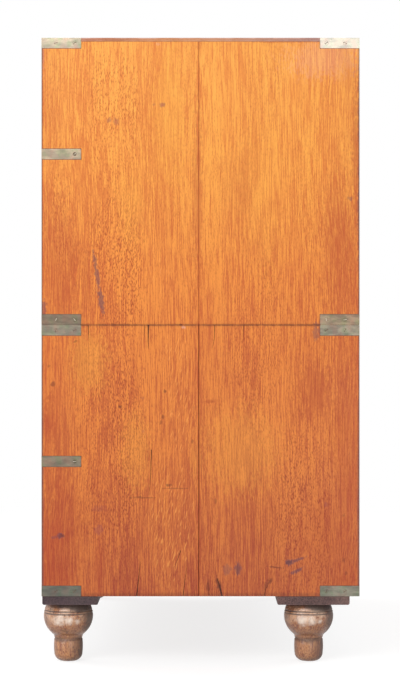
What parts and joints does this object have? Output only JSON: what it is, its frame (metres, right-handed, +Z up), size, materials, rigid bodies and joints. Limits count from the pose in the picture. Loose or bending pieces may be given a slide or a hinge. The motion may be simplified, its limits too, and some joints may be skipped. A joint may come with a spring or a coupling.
{
  "type": "campaign chest of drawers",
  "caption": "Brass-bound campaign chest in stacked sections, with sliding drawers, flush swinging bail handles, bearers and screw-in turned feet.",
  "frame": {"origin": "on the floor, under the middle of the chest", "axes": "+Z up, +X across the width to the viewer's right of the drawer fronts, -Y the front"},
  "size_m": [0.93, 0.49, 0.9656],
  "materials": {
    "side_wood": "worn orange varnish over straight vertical grain with dark pores",
    "top_wood": "darker red-brown varnish",
    "back_wood": "dry, unpolished boards",
    "inner_wood": "bare, waxed where it runs",
    "drawer_wood": "varnished front, bare sides and bottom",
    "bearer_wood": "dark, dirty end grain",
    "foot_wood": "worn, greyed varnish, turned",
    "strap_brass": "aged grey-green brass",
    "handle_brass": "aged, rubbed brass"
  },
  "bodies": {
    "lower_section": {"lower_side_left": "side_wood", "lower_side_right": "side_wood", "lower_top_board": "top_wood", "lower_bottom_board": "inner_wood", "lower_back": "back_wood", "lower_dust_board": "inner_wood", "strap_lower_top_front_right": "strap_brass", "strap_lower_top_rear_right": "strap_brass", "strap_lower_top_rear_left": "strap_brass", "strap_lower_top_front_left": "strap_brass", "strap_lower_middle_front_right": "strap_brass", "strap_lower_middle_front_left": "strap_brass", "strap_lower_bottom_front_right": "strap_brass", "strap_lower_bottom_rear_right": "strap_brass", "strap_lower_bottom_rear_left": "strap_brass", "strap_lower_bottom_front_left": "strap_brass", "front_bearer": "bearer_wood", "rear_bearer": "bearer_wood"},
    "upper_section": {"upper_side_left": "side_wood", "upper_side_right": "side_wood", "upper_top_board": "top_wood", "upper_bottom_board": "inner_wood", "upper_back": "back_wood", "upper_dust_board": "inner_wood", "strap_upper_top_front_right": "strap_brass", "strap_upper_top_rear_right": "strap_brass", "strap_upper_top_rear_left": "strap_brass", "strap_upper_top_front_left": "strap_brass", "strap_upper_middle_front_right": "strap_brass", "strap_upper_middle_front_left": "strap_brass", "strap_upper_bottom_front_right": "strap_brass", "strap_upper_bottom_rear_right": "strap_brass", "strap_upper_bottom_rear_left": "strap_brass", "strap_upper_bottom_front_left": "strap_brass", "upper_partition": "inner_wood"},
    "handle_bail_top_left": {"handle_bail_top_left": "handle_brass"},
    "drawer_top_left": {"drawer_top_left": "drawer_wood", "handle_plate_top_left": "handle_brass"},
    "handle_bail_top_right": {"handle_bail_top_right": "handle_brass"},
    "drawer_top_right": {"drawer_top_right": "drawer_wood", "handle_plate_top_right": "handle_brass"},
    "handle_bail_second_left": {"handle_bail_second_left": "handle_brass"},
    "handle_bail_second_right": {"handle_bail_second_right": "handle_brass"},
    "drawer_second": {"drawer_second": "drawer_wood", "handle_plate_second_left": "handle_brass", "handle_plate_second_right": "handle_brass"},
    "handle_bail_third_left": {"handle_bail_third_left": "handle_brass"},
    "handle_bail_third_right": {"handle_bail_third_right": "handle_brass"},
    "drawer_third": {"drawer_third": "drawer_wood", "handle_plate_third_left": "handle_brass", "handle_plate_third_right": "handle_brass"},
    "handle_bail_bottom_left": {"handle_bail_bottom_left": "handle_brass"},
    "handle_bail_bottom_right": {"handle_bail_bottom_right": "handle_brass"},
    "drawer_bottom": {"drawer_bottom": "drawer_wood", "handle_plate_bottom_left": "handle_brass", "handle_plate_bottom_right": "handle_brass"},
    "foot_front_left": {"foot_front_left": "foot_wood"},
    "foot_front_right": {"foot_front_right": "foot_wood"},
    "foot_rear_left": {"foot_rear_left": "foot_wood"},
    "foot_rear_right": {"foot_rear_right": "foot_wood"}
  },
  "joints": [
    {"name": "upper_lift", "type": "slide", "parent": "lower_section", "child": "upper_section", "axis": [0, 0, 1], "range_m": [0, 0.06]},
    {"name": "drawer_top_left_slide", "type": "slide", "parent": "upper_section", "child": "drawer_top_left", "axis": [0, -1, 0], "range_m": [0, 0.36]},
    {"name": "handle_bail_top_left_swing", "type": "hinge", "parent": "drawer_top_left", "child": "handle_bail_top_left", "pos_m": [-0.228, -0.2392, 0.88295], "axis": [-1, 0, 0], "range_deg": [0, 90]},
    {"name": "drawer_top_right_slide", "type": "slide", "parent": "upper_section", "child": "drawer_top_right", "axis": [0, -1, 0], "range_m": [0, 0.36]},
    {"name": "handle_bail_top_right_swing", "type": "hinge", "parent": "drawer_top_right", "child": "handle_bail_top_right", "pos_m": [0.228, -0.2392, 0.88295], "axis": [-1, 0, 0], "range_deg": [0, 90]},
    {"name": "drawer_second_slide", "type": "slide", "parent": "upper_section", "child": "drawer_second", "axis": [0, -1, 0], "range_m": [0, 0.36]},
    {"name": "handle_bail_second_left_swing", "type": "hinge", "parent": "drawer_second", "child": "handle_bail_second_left", "pos_m": [-0.25868, -0.2392, 0.67115], "axis": [-1, 0, 0], "range_deg": [0, 90]},
    {"name": "handle_bail_second_right_swing", "type": "hinge", "parent": "drawer_second", "child": "handle_bail_second_right", "pos_m": [0.25868, -0.2392, 0.67115], "axis": [-1, 0, 0], "range_deg": [0, 90]},
    {"name": "drawer_third_slide", "type": "slide", "parent": "lower_section", "child": "drawer_third", "axis": [0, -1, 0], "range_m": [0, 0.36]},
    {"name": "handle_bail_third_left_swing", "type": "hinge", "parent": "drawer_third", "child": "handle_bail_third_left", "pos_m": [-0.25868, -0.2392, 0.42535], "axis": [-1, 0, 0], "range_deg": [0, 90]},
    {"name": "handle_bail_third_right_swing", "type": "hinge", "parent": "drawer_third", "child": "handle_bail_third_right", "pos_m": [0.25868, -0.2392, 0.42535], "axis": [-1, 0, 0], "range_deg": [0, 90]},
    {"name": "drawer_bottom_slide", "type": "slide", "parent": "lower_section", "child": "drawer_bottom", "axis": [0, -1, 0], "range_m": [0, 0.36]},
    {"name": "handle_bail_bottom_left_swing", "type": "hinge", "parent": "drawer_bottom", "child": "handle_bail_bottom_left", "pos_m": [-0.25868, -0.2392, 0.22515], "axis": [-1, 0, 0], "range_deg": [0, 90]},
    {"name": "handle_bail_bottom_right_swing", "type": "hinge", "parent": "drawer_bottom", "child": "handle_bail_bottom_right", "pos_m": [0.25868, -0.2392, 0.22515], "axis": [-1, 0, 0], "range_deg": [0, 90]},
    {"name": "foot_front_left_turn", "type": "hinge", "parent": "lower_section", "child": "foot_front_left", "pos_m": [-0.421, -0.2062, 0.0913], "axis": [0, 0, 1], "continuous": true},
    {"name": "foot_front_right_turn", "type": "hinge", "parent": "lower_section", "child": "foot_front_right", "pos_m": [0.421, -0.2062, 0.0913], "axis": [0, 0, 1], "continuous": true},
    {"name": "foot_rear_left_turn", "type": "hinge", "parent": "lower_section", "child": "foot_rear_left", "pos_m": [-0.421, 0.16875, 0.0913], "axis": [0, 0, 1], "continuous": true},
    {"name": "foot_rear_right_turn", "type": "hinge", "parent": "lower_section", "child": "foot_rear_right", "pos_m": [0.421, 0.16875, 0.0913], "axis": [0, 0, 1], "continuous": true}
  ]
}
